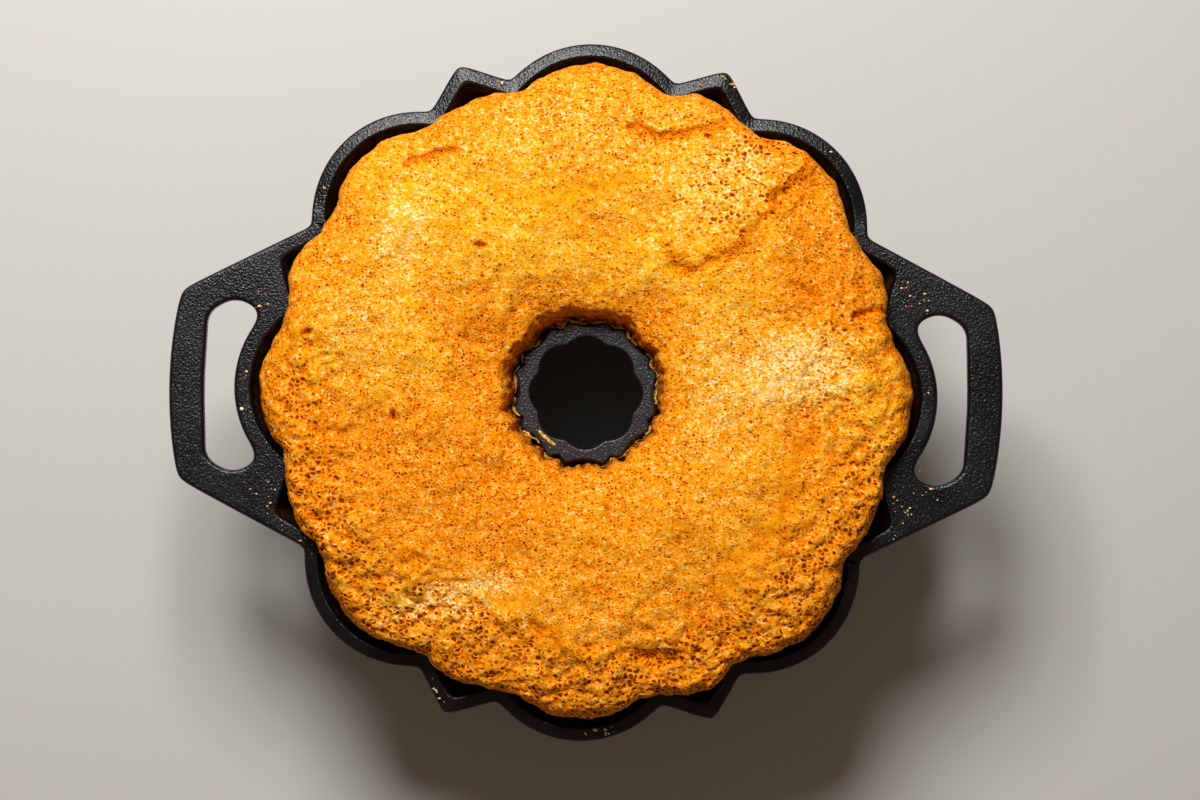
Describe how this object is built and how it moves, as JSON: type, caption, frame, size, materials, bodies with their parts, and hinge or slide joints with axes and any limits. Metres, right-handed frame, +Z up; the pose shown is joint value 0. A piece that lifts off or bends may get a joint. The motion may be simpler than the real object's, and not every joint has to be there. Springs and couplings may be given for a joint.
{
  "type": "angel food cake in a fluted pan",
  "caption": "Golden angel food ring cake, risen above the rim of the fluted cast iron tube pan it was baked in, with a loop handle at each end",
  "frame": {"origin": "on the table, under the centre of the pan's tube", "axes": "+X runs along the pan's length through a handle, +Y across the pan, +Z up out of the cake"},
  "size_m": [0.34, 0.2844, 0.128],
  "materials": {
    "seasoned_iron": "satin",
    "cake_crust": "matte"
  },
  "bodies": {
    "root": {"cast_iron_pan": "seasoned_iron", "ring_cake": "cake_crust"}
  },
  "joints": []
}
